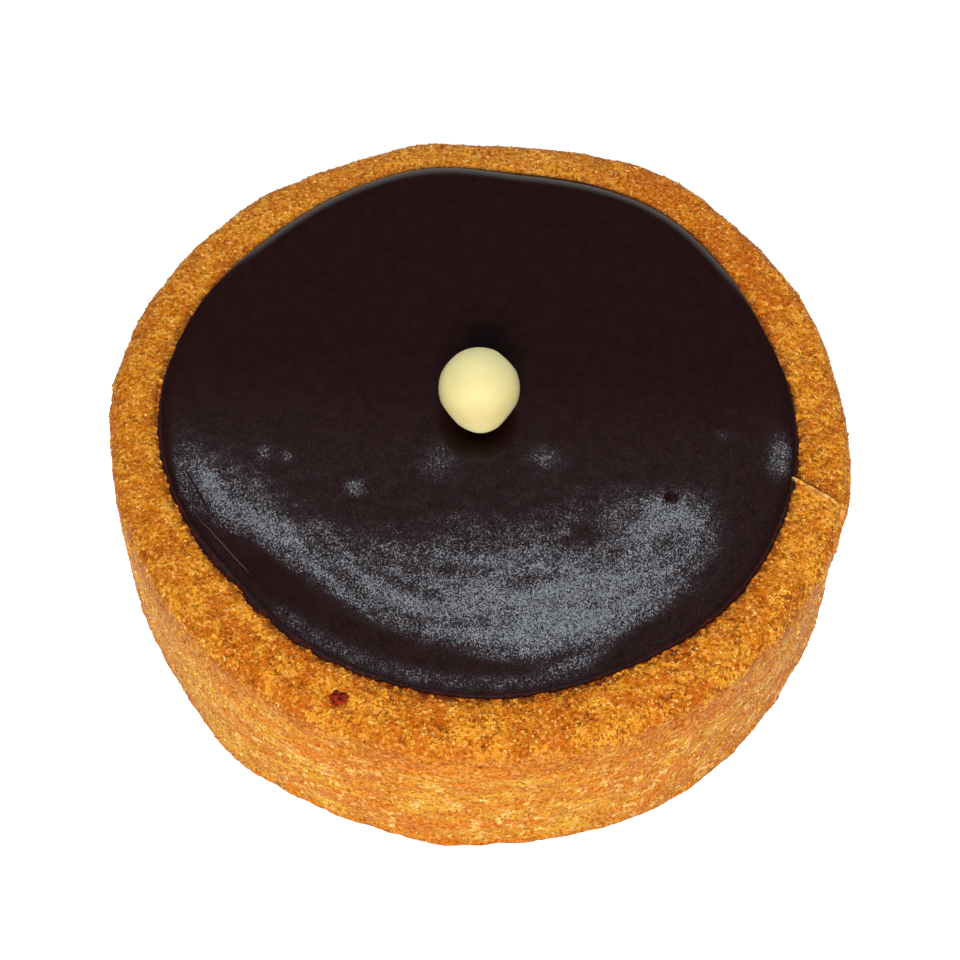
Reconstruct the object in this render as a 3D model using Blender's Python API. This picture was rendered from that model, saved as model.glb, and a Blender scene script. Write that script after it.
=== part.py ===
"""Chocolate tart for one: a thick pastry shell baked in a ring, set ganache
that fills it to just above the rim, and one pale pearl pressed into the middle.

The origin is the middle of the flat underside, +Z is up and -Y is the front.
Sizes below are in millimetres and angles in degrees, counted anticlockwise
from +X. They become metres when each mesh is made.
"""

import math

import bmesh
import bpy
from mathutils import Vector, noise

MM = 0.001
SHARP_ANGLE = 50.0
MERGE_DISTANCE = 0.002

# Pastry shell
RING_RADIUS = 40.0
FOOT_RADIUS = 39.8
RIM_HEIGHT = 23.0
RIM_CROWN = 0.2
FOOT_ROUNDING = 0.7
RIM_ROUNDING = 2.3
LIP_ROUNDING = 0.4
FLOOR_THICKNESS = 4.0
FLOOR_FILLET = 2.2
SHELL_COLUMNS = 144
WALL_RINGS = 8
RIM_RINGS = 3

# Ganache, which fills the shell and stands just proud of the rim
GANACHE_RADIUS = 34.0
GANACHE_CENTRE = Vector((-0.5, 0.4))
GANACHE_TOP = 24.2
GANACHE_DOME = 0.15
BEAD_START = 27.5
BEAD_FOOT = 22.9
BEAD_FULLNESS = 3.2
GAP = 0.3
GANACHE_COLUMNS = 96
BEAD_RINGS = 6
FLAT_RINGS = 7
DIMPLE_RINGS = 3
DIMPLE_REACH = 5.0

# Heights of the rings on the hidden upright sides, as shares of the rim's height
SIDE_LEVELS = (0.8, 0.5)

# Pearl, pressed flat by a few hundredths on its upper right and lower left
PEARL_RADIUS = 4.3
PEARL_CENTRE = Vector((-0.68, 0.1, 28.1))
PEARL_COLUMNS = 28
PEARL_RINGS = 16
PEARL_FLATS = [Vector((0.6, 0.3, 0.74)), Vector((-0.66, -0.7, -0.25))]
PEARL_FLAT_START = 0.9
PEARL_FLAT_DEPTH = 0.5

# Place of the shell's turning axis, which centres the whole tart on the origin
AXIS = Vector((0.33, 0.15, 0.0))

# Swells and dents of the outlines: angle, half width in degrees, height
RIM_SWELLS = [(8, 9, -0.3), (33, 10, 0.4), (59, 13, 1.2), (90, 13, -0.6), (104, 5, 0.3),
              (116, 8, -0.3), (134, 6, 0.4), (162, 22, 0.6), (179, 6, 0.4), (345, 12, 0.3)]
FOOT_SWELLS = [(214, 14, -0.5), (231, 7, 0.5), (253, 8, -0.1), (268, 7, 0.3), (304, 16, 0.5),
               (345, 14, 0.3)]
GANACHE_SWELLS = [(24, 12, -0.5), (57, 14, 0.8), (86, 11, -0.6), (104, 11, 0.4), (138, 18, -0.7),
                  (180, 9, 0.2), (222, 17, -1.1), (250, 14, -0.2), (276, 12, 0.2), (322, 20, 0.6),
                  (350, 12, 0.3)]
RIM_LEVELS = [(20, 16, -0.15), (75, 20, 0.2), (140, 18, -0.2), (215, 22, 0.25), (262, 16, -0.2),
              (310, 18, 0.15)]

# End of the pastry strip, which laps over its own start on the right
SEAM_INNER_ANGLE = -10.8
SEAM_OUTER_ANGLE = -12.9
SEAM_INNER_RADIUS = 34.5
SEAM_OUTER_RADIUS = 38.8
SEAM_STEP = 0.8
SEAM_RUN_OUT = 11.0
SEAM_SET_BACK = 0.45
SEAM_HALF_GAP = 0.12
SEAM_REACH = 11.0

# Pits in the rim: x, y, radius, depth
RIM_PITS = [(-13.1, -34.2, 1.6, 0.5), (33.8, 11.2, 1.6, 0.5)]

# Crags of the baked surface, coarse and fine
CRAG_SIZE = 5.5
CRAG_HEIGHT = 0.22
GRAIN_SIZE = 2.1
GRAIN_HEIGHT = 0.13
NOISE_ORIGIN = Vector((3.7, -8.1, 12.4))

# Ledge near the front edge, where the ganache set in two waves
LEDGE_MIDDLE = -106.0
LEDGE_HALF_WIDTH = 44.0
LEDGE_RADIUS = 27.2
LEDGE_RISE_TO_EDGE = 3.6
LEDGE_WIDTH = 3.0
LEDGE_DROP = 0.3

# Dents and bumps of the ganache's top: x, y, radius, height
TOP_MARKS = [(21.0, -9.7, 2.4, -0.25), (-12.8, -11.1, 1.8, 0.15), (-22.0, -7.3, 2.2, 0.1)]


def smooth(low, high, value):
    """0 at low, 1 at high and an even slope between."""
    t = min(1.0, max(0.0, (value - low) / (high - low)))
    return t * t * (3.0 - 2.0 * t)


def turned(angle):
    """The same angle, from -180 to 180 degrees."""
    return (angle + 180.0) % 360.0 - 180.0


def swell(angle, swells):
    """Height of a list of smooth swells at an angle."""
    return sum(height * math.exp(-(turned(angle - middle) / half_width) ** 2)
               for middle, half_width, height in swells)


def mark(x, y, marks):
    """Height of a list of round marks at a place."""
    return sum(height * math.exp(-((x - mark_x) ** 2 + (y - mark_y) ** 2) / radius ** 2)
               for mark_x, mark_y, radius, height in marks)


def arc(centre_r, centre_z, radius, start, end, steps):
    """Points of a round corner in a profile, its first point left out."""
    turns = [math.radians(start + (end - start) * step / steps) for step in range(1, steps + 1)]
    return [(centre_r + radius * math.cos(turn), centre_z + radius * math.sin(turn)) for turn in turns]


def shell_profile():
    """Half section of the shell, from the middle of its underside round to its floor."""
    foot_r = FOOT_RADIUS - FOOT_ROUNDING
    corner_r = RING_RADIUS - RIM_ROUNDING
    corner_z = RIM_HEIGHT - RIM_ROUNDING
    lip = GANACHE_RADIUS + GAP
    lip_r = lip + LIP_ROUNDING
    fillet_z = FLOOR_THICKNESS + FLOOR_FILLET
    points = [(0.0, 0.0), (foot_r, 0.0)]
    points += arc(foot_r, FOOT_ROUNDING, FOOT_ROUNDING, -90, 0, 3)
    for ring in range(1, WALL_RINGS + 1):
        rise = ring / WALL_RINGS
        points.append((FOOT_RADIUS + (RING_RADIUS - FOOT_RADIUS) * rise,
                       FOOT_ROUNDING + (corner_z - FOOT_ROUNDING) * rise))
    points += arc(corner_r, corner_z, RIM_ROUNDING, 0, 90, 5)
    for ring in range(1, RIM_RINGS + 1):
        across = ring / RIM_RINGS
        crown = RIM_CROWN * math.sin(math.pi * across)
        points.append((corner_r + (lip_r - corner_r) * across, RIM_HEIGHT + crown))
    points += arc(lip_r, RIM_HEIGHT - LIP_ROUNDING, LIP_ROUNDING, 90, 180, 2)
    points += [(lip, level * RIM_HEIGHT) for level in SIDE_LEVELS]
    points.append((lip, fillet_z))
    points += arc(lip - FLOOR_FILLET, fillet_z, FLOOR_FILLET, 0, -90, 2)
    points.append((0.0, FLOOR_THICKNESS))
    return points


def top_level(radius):
    """Level of the ganache: a low dome that rolls over into a rounded bead."""
    dome = GANACHE_DOME * (1.0 - (radius / GANACHE_RADIUS) ** 2)
    along = max(0.0, (radius - BEAD_START) / (GANACHE_RADIUS - BEAD_START))
    roll = 1.0 - math.sqrt(max(0.0, 1.0 - along ** BEAD_FULLNESS))
    return GANACHE_TOP + dome - (GANACHE_TOP - BEAD_FOOT) * roll


def ganache_profile():
    """Half section of the filling, from the middle of its underside round to its top."""
    fillet_r = GANACHE_RADIUS - FLOOR_FILLET
    base_z = FLOOR_THICKNESS + GAP
    points = [(0.0, base_z), (fillet_r, base_z)]
    points += arc(fillet_r, base_z + FLOOR_FILLET, FLOOR_FILLET, -90, 0, 2)
    points += [(GANACHE_RADIUS, level * RIM_HEIGHT) for level in reversed(SIDE_LEVELS)]
    points.append((GANACHE_RADIUS, BEAD_FOOT))
    rings = [GANACHE_RADIUS - (GANACHE_RADIUS - BEAD_START) * (ring / BEAD_RINGS) ** 2
             for ring in range(1, BEAD_RINGS + 1)]
    rings += [BEAD_START + (DIMPLE_REACH - BEAD_START) * ring / FLAT_RINGS
              for ring in range(1, FLAT_RINGS + 1)]
    rings += [DIMPLE_REACH * (1.0 - ring / DIMPLE_RINGS) for ring in range(1, DIMPLE_RINGS + 1)]
    points += [(radius, top_level(radius)) for radius in rings]
    return points


def turn_profile(points, columns, start):
    """One closed mesh from a profile that begins and ends on the axis."""
    bm = bmesh.new()
    turn = math.radians(start)
    verts = [bm.verts.new((r * math.cos(turn), r * math.sin(turn), z)) for r, z in points]
    edges = [bm.edges.new(pair) for pair in zip(verts, verts[1:])]
    bmesh.ops.spin(bm, geom=verts + edges, axis=(0, 0, 1), cent=(0, 0, 0),
                   angle=2 * math.pi, steps=columns, use_duplicate=False)
    bmesh.ops.remove_doubles(bm, verts=bm.verts, dist=MERGE_DISTANCE)
    bmesh.ops.recalc_face_normals(bm, faces=bm.faces)
    return bm


def seam_middle():
    """Angle half way along the strip's end."""
    return 0.5 * (SEAM_INNER_ANGLE + SEAM_OUTER_ANGLE)


def seam_warp(angle, radius, weight):
    """Draws the columns of faces together into a step along the strip's end."""
    half_column = 180.0 / SHELL_COLUMNS
    across = smooth(SEAM_INNER_RADIUS, SEAM_OUTER_RADIUS, radius)
    line = SEAM_INNER_ANGLE + (SEAM_OUTER_ANGLE - SEAM_INNER_ANGLE) * across
    away = turned(angle - seam_middle())
    fade = weight * max(0.0, 1.0 - max(0.0, abs(away) - half_column) / SEAM_REACH)
    pinch = math.copysign((half_column - SEAM_HALF_GAP) * fade, away)
    return angle + (line - seam_middle()) * fade - pinch


def filling_shift(angle):
    """How far the filling's edge lies outside its ideal circle."""
    turn = math.radians(angle)
    offset = GANACHE_CENTRE.x * math.cos(turn) + GANACHE_CENTRE.y * math.sin(turn)
    return offset + swell(angle, GANACHE_SWELLS)


def crags(place):
    """Height of the uneven baked surface at a place."""
    coarse = noise.noise((place + NOISE_ORIGIN) / CRAG_SIZE)
    fine = noise.noise((place - NOISE_ORIGIN) / GRAIN_SIZE)
    return CRAG_HEIGHT * coarse + GRAIN_HEIGHT * fine


def shape_shell(bm):
    """Gives the turned shell its uneven outline, lapped seam, pits and crags."""
    lip = GANACHE_RADIUS + GAP
    bm.normal_update()
    normals = {vert: vert.normal.copy() for vert in bm.verts}
    for vert in bm.verts:
        x, y, z = vert.co
        radius = math.hypot(x, y)
        if radius < MM:
            continue
        angle = math.degrees(math.atan2(y, x))
        rise = z / RIM_HEIGHT
        top = smooth(0.6, 1.0, rise)
        outside = smooth(lip, RING_RADIUS - 1.0, radius)
        inner_shift = filling_shift(angle) * min(1.0, radius / lip)
        outer_shift = (1.0 - rise) * swell(angle, FOOT_SWELLS) + rise * swell(angle, RIM_SWELLS)
        if z == 0.0:
            outside = 1.0
        shift = outer_shift * outside + inner_shift * (1.0 - outside)
        lift = top * swell(angle, RIM_LEVELS)

        past_end = turned(angle - seam_middle())
        if past_end < 0.0:
            lap = math.exp(past_end / SEAM_RUN_OUT)
            lift += SEAM_STEP * lap * top
            shift -= SEAM_SET_BACK * lap * outside * smooth(0.2, 0.9, rise)
        seam_weight = smooth(0.15, 0.75, rise) if outside > 0.2 else smooth(0.8, 0.95, rise)
        turn = math.radians(seam_warp(angle, radius, seam_weight))
        radius += shift
        place = Vector((radius * math.cos(turn), radius * math.sin(turn), z + lift))

        if outside > 0.01 and z > 0.0:
            push = crags(place)
            push -= top * mark(place.x, place.y, RIM_PITS)
            place += normals[vert] * push
            place.z = max(place.z, 0.5 * z)
        vert.co = place


def ledge(x, y):
    """Drop of the front of the ganache outside the line where the first wave set."""
    angle = turned(math.degrees(math.atan2(y, x)) - LEDGE_MIDDLE)
    share = min(1.0, abs(angle) / LEDGE_HALF_WIDTH)
    line = LEDGE_RADIUS + LEDGE_RISE_TO_EDGE * share ** 2
    return -LEDGE_DROP * (1.0 - smooth(0.8, 1.2, share)) * smooth(line, line + LEDGE_WIDTH, math.hypot(x, y))


def pearl_clearance(x, y):
    """Highest level that the ganache may reach under the pearl."""
    reach = PEARL_RADIUS + GAP
    away = math.hypot(x - PEARL_CENTRE.x, y - PEARL_CENTRE.y)
    if away >= reach:
        return math.inf
    return PEARL_CENTRE.z - math.sqrt(reach ** 2 - away ** 2)


def shape_ganache(bm):
    """Fits the turned filling to the shell and gives its top the waves it set with."""
    for vert in bm.verts:
        x, y, z = vert.co
        radius = math.hypot(x, y)
        angle = math.degrees(math.atan2(y, x))
        grow = 1.0 + filling_shift(angle) / GANACHE_RADIUS * smooth(0.0, GANACHE_RADIUS, radius)
        x *= grow
        y *= grow
        if z > BEAD_FOOT:
            lean = smooth(3.0 * DIMPLE_REACH, 0.5 * DIMPLE_REACH, radius)
            x += PEARL_CENTRE.x * lean
            y += PEARL_CENTRE.y * lean
            z += ledge(x, y) * smooth(BEAD_FOOT, GANACHE_TOP, z) + mark(x, y, TOP_MARKS)
            z = min(z, pearl_clearance(x, y))
        vert.co = (x, y, z)


def pearl_ball():
    """A ball with its two soft flats."""
    bm = bmesh.new()
    bmesh.ops.create_uvsphere(bm, u_segments=PEARL_COLUMNS, v_segments=PEARL_RINGS, radius=PEARL_RADIUS)
    for vert in bm.verts:
        for direction in PEARL_FLATS:
            toward = direction.normalized()
            over = vert.co.dot(toward) - PEARL_FLAT_START * PEARL_RADIUS
            if over > 0.0:
                vert.co -= toward * over * PEARL_FLAT_DEPTH
        vert.co += PEARL_CENTRE
    return bm


def surface(name, colour, roughness):
    """Principled material of one plain finish."""
    material = bpy.data.materials.new(name)
    material.use_nodes = True
    shader = material.node_tree.nodes["Principled BSDF"]
    shader.inputs["Base Color"].default_value = (*colour, 1.0)
    shader.inputs["Roughness"].default_value = roughness
    shader.inputs["Metallic"].default_value = 0.0
    return material


def make_object(name, bm, material):
    """Turns a shape in millimetres into an object in metres."""
    for vert in bm.verts:
        vert.co = (vert.co + AXIS) * MM
    mesh = bpy.data.meshes.new(name)
    bm.to_mesh(mesh)
    bm.free()
    mesh.shade_smooth()
    mesh.set_sharp_from_angle(angle=math.radians(SHARP_ANGLE))
    mesh.materials.append(material)
    bpy.context.collection.objects.link(bpy.data.objects.new(name, mesh))


def main():
    for obj in list(bpy.data.objects):
        bpy.data.objects.remove(obj)

    # The seam falls midway between two columns of faces
    shell = turn_profile(shell_profile(), SHELL_COLUMNS, seam_middle() + 180.0 / SHELL_COLUMNS)
    shape_shell(shell)
    make_object("crust", shell, surface("baked pastry", (0.60, 0.32, 0.12), 0.8))

    filling = turn_profile(ganache_profile(), GANACHE_COLUMNS, 0.0)
    shape_ganache(filling)
    make_object("ganache", filling, surface("dark ganache", (0.018, 0.009, 0.008), 0.3))

    make_object("pearl", pearl_ball(), surface("cream pearl", (0.88, 0.80, 0.45), 0.35))


main()
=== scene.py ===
"""Chocolate tart for one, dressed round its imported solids.

A sandy baked pastry shell with a lapped seam, a satin dark ganache that set in
waves and one cream pearl. Sizes are in millimetres and angles in degrees, counted
anticlockwise from +X, unless a name says otherwise. Meshes are in metres.
"""

import math

import bpy
import numpy as np
from mathutils import Matrix, Vector, noise


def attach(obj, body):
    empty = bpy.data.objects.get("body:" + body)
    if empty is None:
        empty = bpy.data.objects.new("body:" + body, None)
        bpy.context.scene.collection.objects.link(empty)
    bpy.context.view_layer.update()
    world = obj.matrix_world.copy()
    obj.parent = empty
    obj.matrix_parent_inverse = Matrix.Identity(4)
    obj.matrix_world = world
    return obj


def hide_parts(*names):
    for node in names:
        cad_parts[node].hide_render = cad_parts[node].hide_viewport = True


MM = 0.001
RIGHT, BACK, UP = (1.0, 0.0, 0.0), (0.0, 1.0, 0.0), (0.0, 0.0, 1.0)

# Shell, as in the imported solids
RING_RADIUS = 40.0
FOOT_RADIUS = 39.8
RIM_HEIGHT = 23.0
RIM_CROWN = 0.2
FOOT_ROUNDING = 0.7
RIM_ROUNDING = 2.3
LIP_ROUNDING = 0.4
LIP_OVERLAP = 0.5
FLOOR_THICKNESS = 4.0
FLOOR_FILLET = 2.2
AXIS = Vector((0.33, 0.15, 0.0))
RIM_SWELLS = [
    (8, 9, -0.3), (33, 10, 0.4), (59, 13, 1.2), (90, 13, -0.6), (104, 5, 0.3), (116, 8, -0.3),
    (134, 6, 0.4), (162, 22, 0.6), (179, 6, 0.4), (345, 12, 0.3),
]
FOOT_SWELLS = [
    (214, 14, -0.5), (231, 7, 0.5), (253, 8, -0.1), (268, 7, 0.3), (304, 16, 0.5), (345, 14, 0.3),
]
RIM_LEVELS = [
    (20, 16, -0.15), (75, 20, 0.2), (140, 18, -0.2), (215, 22, 0.25), (262, 16, -0.2), (310, 18, 0.15),
]
RIM_PITS = [(-13.1, -34.2, 1.6, 0.5), (33.8, 11.2, 1.6, 0.5)]
CRAG_SIZE = 5.5
CRAG_HEIGHT = 0.22
GRAIN_SIZE = 2.1
GRAIN_HEIGHT = 0.13
NOISE_ORIGIN = Vector((3.7, -8.1, 12.4))
RELIEF_ORIGIN = (13.7, -7.1, 9.3)
LAYER_FLATNESS = 0.35

# Lapped end of the pastry strip
SEAM_INNER_ANGLE = -10.8
SEAM_OUTER_ANGLE = -12.9
SEAM_INNER_RADIUS = 34.5
SEAM_OUTER_RADIUS = 38.8
SEAM_STEP = 0.8
SEAM_RUN_OUT = 11.0
SEAM_SET_BACK = 0.8
SEAM_HALF_GAP = 0.05
SEAM_REACH = 11.0
SEAM_MIDDLE = 0.5 * (SEAM_INNER_ANGLE + SEAM_OUTER_ANGLE)

# Ganache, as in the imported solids, and where its edge meets the pastry
GANACHE_RADIUS = 34.0
GANACHE_EDGE = 34.0
GANACHE_CENTRE = Vector((-0.5, 0.4))
GANACHE_TOP = 24.2
GANACHE_DOME = 0.1
BACK_BEAD = [(80, 85, 0.07)]
BEAD_FOOT = 22.7
GANACHE_SWELLS = [
    (24, 12, -0.5), (57, 14, 0.8), (86, 11, -0.6), (104, 11, 0.4), (138, 18, -0.7), (180, 9, 0.2),
    (222, 17, -1.1), (250, 14, -0.2), (276, 12, 0.2), (322, 20, 0.6), (350, 12, 0.3),
]

# The front of the ganache falls towards the edge in two waves. Each line below is
# radius by angle: the first fall begins, it steepens, the second wave lies flatter
FALL_BEGINS = [
    (170, 37.0), (186, 35.0), (191, 33.0), (195, 28.0), (200, 25.5), (210, 24.6), (220, 23.0),
    (230, 21.8), (240, 21.0), (250, 20.0), (260, 19.0), (270, 18.4), (280, 18.0), (290, 17.7),
    (300, 16.7), (310, 15.2), (320, 14.0), (328, 15.2), (334, 18.5), (340, 23.5), (346, 29.0),
    (353, 36.0), (360, 37.0),
]
FALL_STEEPENS = [
    (170, 38.0), (190, 36.5), (196, 34.4), (201, 33.6), (207, 32.6), (213, 30.8), (220, 29.3),
    (230, 28.8), (240, 28.1), (250, 28.1), (260, 28.9), (270, 29.8), (280, 30.2), (287, 31.4),
    (293, 31.8), (300, 30.6), (310, 30.4), (320, 29.2), (330, 28.0), (341, 29.8), (350, 33.5),
    (360, 37.0),
]
SECOND_WAVE = [
    (170, 38.0), (221, 38.0), (227, 33.0), (232, 31.0), (240, 31.2), (250, 31.5), (260, 31.5),
    (270, 31.3), (280, 31.1), (287, 31.4), (293, 33.0), (298, 38.0), (310, 38.0),
]

# Slopes by angle of the first fall and of where it steepens, and that of the second wave
FIRST_SLOPES = [
    (185, 0.0), (200, 0.018), (215, 0.045), (230, 0.066), (285, 0.066), (300, 0.055), (315, 0.035),
    (330, 0.018), (345, 0.0), (360, 0.0),
]
STEEP_SLOPES = [
    (190, 0.0), (205, 0.06), (216, 0.17), (225, 0.19), (283, 0.19), (289, 0.10), (295, 0.02), (300, 0.0),
]
SECOND_SLOPE = 0.10

# How softly each fall sets in, and how far before its line
FIRST_SOFTNESS = 4.6
FIRST_LEAD = 1.38
STEEP_SOFTNESS = 1.2
STEEP_LEAD = 0.5
SECOND_SOFTNESS = 1.0
SECOND_LEAD = 0.4

# Where the skin's grains lie so that they shine: radius by angle where they begin,
# are most, grow fewer and end, their share by angle, and round marks with more or fewer
# of them. Below: how the share rises, how strong each kind is, and where the faint one fades
SHEEN_BEGINS = [
    (180, 30.0), (190, 26.0), (200, 22.5), (210, 22.5), (220, 21.5), (230, 18.5), (240, 16.0),
    (250, 13.5), (260, 10.0), (280, 11.0), (290, 12.0), (320, 12.5), (330, 14.5), (340, 22.0),
]
SHEEN_PEAKS = [
    (190, 33.0), (200, 30.5), (210, 29.0), (220, 27.5), (240, 26.8), (250, 26.2), (260, 25.5),
    (270, 25.0), (290, 24.5), (305, 23.5), (320, 22.5), (330, 23.5), (340, 28.0),
]
SHEEN_WANES = [
    (190, 32.0), (200, 32.0), (210, 29.5), (220, 27.0), (240, 26.6), (250, 26.3), (260, 25.0),
    (270, 27.0), (280, 28.0), (290, 29.5), (300, 29.0), (310, 28.0), (320, 26.0), (340, 25.0),
]
SHEEN_ENDS = [
    (190, 33.5), (196, 36.0), (202, 36.0), (210, 33.3), (220, 30.3), (230, 29.2), (240, 29.6),
    (250, 29.2), (260, 30.2), (270, 30.2), (280, 31.3), (290, 33.6), (300, 31.5), (310, 31.2),
    (320, 32.4), (330, 31.5), (340, 30.0),
]
SHEEN_SHARES = [
    (180, 0.0), (186, 0.08), (190, 0.25), (195, 0.5), (200, 0.72), (206, 0.88), (215, 0.92), (240, 0.9),
    (250, 0.84), (262, 0.93), (272, 1.08), (282, 1.18), (292, 1.22), (300, 1.15), (308, 0.92),
    (320, 0.70), (329, 0.80), (334, 0.50), (338, 0.25), (346, 0.08), (352, 0.0), (360, 0.0),
]
SHEEN_MARKS = [
    (32.6, -3.8, 2.0, 0.45), (33.2, -1.2, 2.0, 0.3), (31.6, -5.6, 1.6, 0.2), (-4.3, -6.8, 1.9, 0.22),
    (6.7, -6.0, 1.6, 0.25), (-13.0, -10.6, 0.9, 0.42), (-22.8, -6.8, 0.9, 0.25), (-20.5, -7.3, 0.7, 0.2),
    (25.8, -1.6, 1.0, 0.25), (20.6, -11.6, 1.9, 0.38), (20.2, -9.9, 0.5, -1.0), (8.6, -17.2, 1.8, -0.14),
    (11.0, -15.4, 1.6, -0.12),
]
SHEEN_CURVE = 1.2
SHEEN_GAIN = 0.43
SHEEN_RIPPLE = 0.85
MARK_SHEEN = 0.75
FAINT_SHEEN = 0.045
FAINT_SHEEN_FRONT = (4.0, -12.0)

# Faint second line of sheen on the lower wave: its share, radius and width, and the
# angles between which it comes and goes
SECOND_SHEEN = 0.16
SECOND_SHEEN_RADIUS = 32.5
SECOND_SHEEN_WIDTH = 0.95
SECOND_SHEEN_COMES = (226.0, 234.0)
SECOND_SHEEN_GOES = (296.0, 288.0)

# Grains of the skin: their size, between which y they begin to lean, the elevation that
# the dark ones mirror, and by angle how much of the edge lies calm and level instead
SKIN_GRAIN = 0.105
SKIN_FRONT = (9.0, -5.0)
DARK_ELEVATION = 59.5
CALM_WEIGHT = 3.0
CALM_EDGE = [(0, 1.0), (22, 1.0), (38, 0.0), (142, 0.0), (158, 1.0), (360, 1.0)]
LEAST_UPRIGHT = 0.2

# Rounded edge of the ganache: its mesh's width, its own width by angle and how full it is
BEAD_WIDTH = 2.8
BEAD_WIDTHS = [
    (0, 1.6), (40, 2.3), (90, 2.8), (140, 2.4), (180, 1.4), (220, 1.0), (280, 0.9), (320, 1.2),
    (360, 1.6),
]
BEAD_FULLNESS = 2.2
BEAD_STEPS = 20

# Dark film round the edge, a soaked stain and a painted shade: width by angle, its ring's half width, half
# height and level, and its unevenness as fineness, place in the noise and share
FILM_WIDTHS = [
    (0, 0.25), (30, 0.10), (60, 0.0), (130, 0.0), (165, 0.15), (205, 0.30), (225, 0.42), (240, 0.30),
    (255, 0.15), (290, 0.12), (320, 0.18), (345, 0.25), (360, 0.25),
]
FILM_REACH = 0.40
FILM_RISE = 0.30
FILM_LEVEL = 23.0
FILM_WAVES = [(14.0, 3.3, 1.0), (45.0, 8.1, 0.6), (110.0, 1.1, 0.8)]
FILM_COLUMNS = 1440

# Marks of the ganache's top: x, y, radius and height, or share of painted shadow round the pearl
TOP_MARKS = [
    (20.6, -10.8, 2.2, -0.05), (20.2, -9.9, 0.55, -0.22), (-13.0, -10.4, 1.1, 0.075),
    (-4.3, -6.4, 1.9, 0.08), (6.7, -5.6, 1.5, 0.07), (9.1, -15.6, 1.5, -0.05), (33.2, -3.4, 1.8, 0.10),
    (-22.8, -6.8, 0.7, 0.04), (-20.5, -7.3, 0.5, 0.03), (-33.0, -4.1, 0.4, 0.04), (7.8, 23.8, 0.35, 0.03),
    (25.8, -1.6, 1.0, 0.04), (-15.4, 0.1, 1.0, 0.03),
]
PEARL_SHADE_MARKS = [(-0.6, -4.6, 2.6, 0.75), (-0.6, -2.6, 3.2, 0.5), (-0.6, 5.0, 2.8, 0.8), (0.3, 9.0, 2.6, 0.6)]

# Streaks along the waves, and the crease and the painted highlight of a scratch in the skin, as x, y of their
# ends
STREAK_SPACING = 1.5
STREAK_LENGTH = 8.0
STREAK_RADIUS = 26.0
STREAK_HEIGHT = 0.03
STREAK_START = (-4.0, 1.0)
CREASE = ((-30.9, -9.4), (-27.5, -14.9))
CREASE_WIDTH = 0.20
SCRATCH_HIGHLIGHT = ((-28.9, -15.2), (-22.6, -21.6))
SCRATCH_HIGHLIGHT_WIDTH = 0.07

# Pearl: flats as direction and depth, swells as direction, width and height
PEARL_RADIUS = 4.3
PEARL_CENTRE = Vector((-0.58, 0.0, 28.1))
PEARL_FLATS = [
    (0.67, 0.63, 0.40, 0.5), (-0.77, 0.54, 0.34, 0.2), (-0.74, -0.57, -0.36, 0.40),
    (0.78, -0.53, -0.34, 0.5), (0.5, 0.3, 0.8, 0.3),
]
PEARL_FLAT_START = 0.94
PEARL_SWELLS = [(0.13, -0.83, -0.53, 0.60, 0.46), (-0.16, -0.97, 0.08, 0.2, 0.09)]

# Loose grains: how many on each piece, their radii and the seed of their places
GRAIN_COUNT = 9500
RIM_GRAIN_RADII = (0.08, 0.20)
RIM_GRAIN_SEED = 11
WALL_GRAIN_RADII = (0.09, 0.20)
WALL_GRAIN_SEED = 23
GRAIN_STRETCH = (0.55, 1.45)
GRAIN_UNEVENNESS = 0.2
GRAIN_SINKING = 0.5

# Caramel spot: how a ball of 1 mm is stretched, how uneven it is and how far it stands up
SPOT_STRETCH = (1.3, 0.75, 0.28)
SPOT_UNEVENNESS = 0.75
SPOT_FINENESS = 1.9
SPOT_RISE = 0.05

# Soft strip of light behind the tart: half heights and half widths, dark and bright, as
# sines. Its colour, and the strength of the strip, of the glow under it and of the sky
STRIP_ELEVATION = 69.0
STRIP_HEIGHT = (0.105, 0.0)
STRIP_WIDTH = (0.45, 0.12)
STRIP_RADIANCE = 40.0
STRIP_COLOUR = (0.78, 0.90, 1.0)
GLOW_RADIANCE = 1.5
SKY_RADIANCE = 0.17

# Fineness of the meshes
SHELL_COLUMNS = 800
GANACHE_COLUMNS = 700
MERGE_DISTANCE = 0.002
WEIGHT_STEPS = 20

# Camera, fitted to the photograph's outlines. Its roll is in radians, its focal length
# in pixels of a picture 960 wide
CAMERA_ELEVATION = 57.66
CAMERA_ROLL = 0.0512
CAMERA_DISTANCE = 245.0
CAMERA_TARGET = Vector((0.0, 0.0, 10.0))
PICTURE_WIDTH = 960.0
FOCAL_PIXELS = 2176.0
SENSOR = 36.0
SIGHT = Vector((0.0, math.cos(math.radians(CAMERA_ELEVATION)), -math.sin(math.radians(CAMERA_ELEVATION))))
EYE = CAMERA_TARGET + AXIS - SIGHT * CAMERA_DISTANCE


# Helpers

def smooth(low, high, value):
    """0 at low, 1 at high and a soft slope between."""
    t = np.clip((value - low) / (high - low), 0.0, 1.0)
    return t * t * (3.0 - 2.0 * t)


def turned(angle):
    """The same angle, from -180 to 180 degrees."""
    return (angle + 180.0) % 360.0 - 180.0


def swell(angle, swells):
    """Height of a list of smooth swells at an angle."""
    return sum(height * np.exp(-(turned(angle - middle) / half_width) ** 2)
               for middle, half_width, height in swells)


def by_angle(line, angle):
    """Value of a line that is given at a few angles, softly rounded between them."""
    reach, softness = 9, 3.5
    degrees = np.arange(-30.0, 391.0)
    knots, values = zip(*line)
    table = np.interp(degrees % 360.0, knots, values)
    window = np.exp(-(np.arange(-reach, reach + 1) / softness) ** 2)
    table = np.convolve(np.pad(table, reach, mode="edge"), window / window.sum(), mode="valid")
    return np.interp(angle % 360.0, degrees, table)


def polar(points):
    """Distance from the axis and angle of each point."""
    return np.hypot(points[:, 0], points[:, 1]), np.degrees(np.arctan2(points[:, 1], points[:, 0]))


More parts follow.
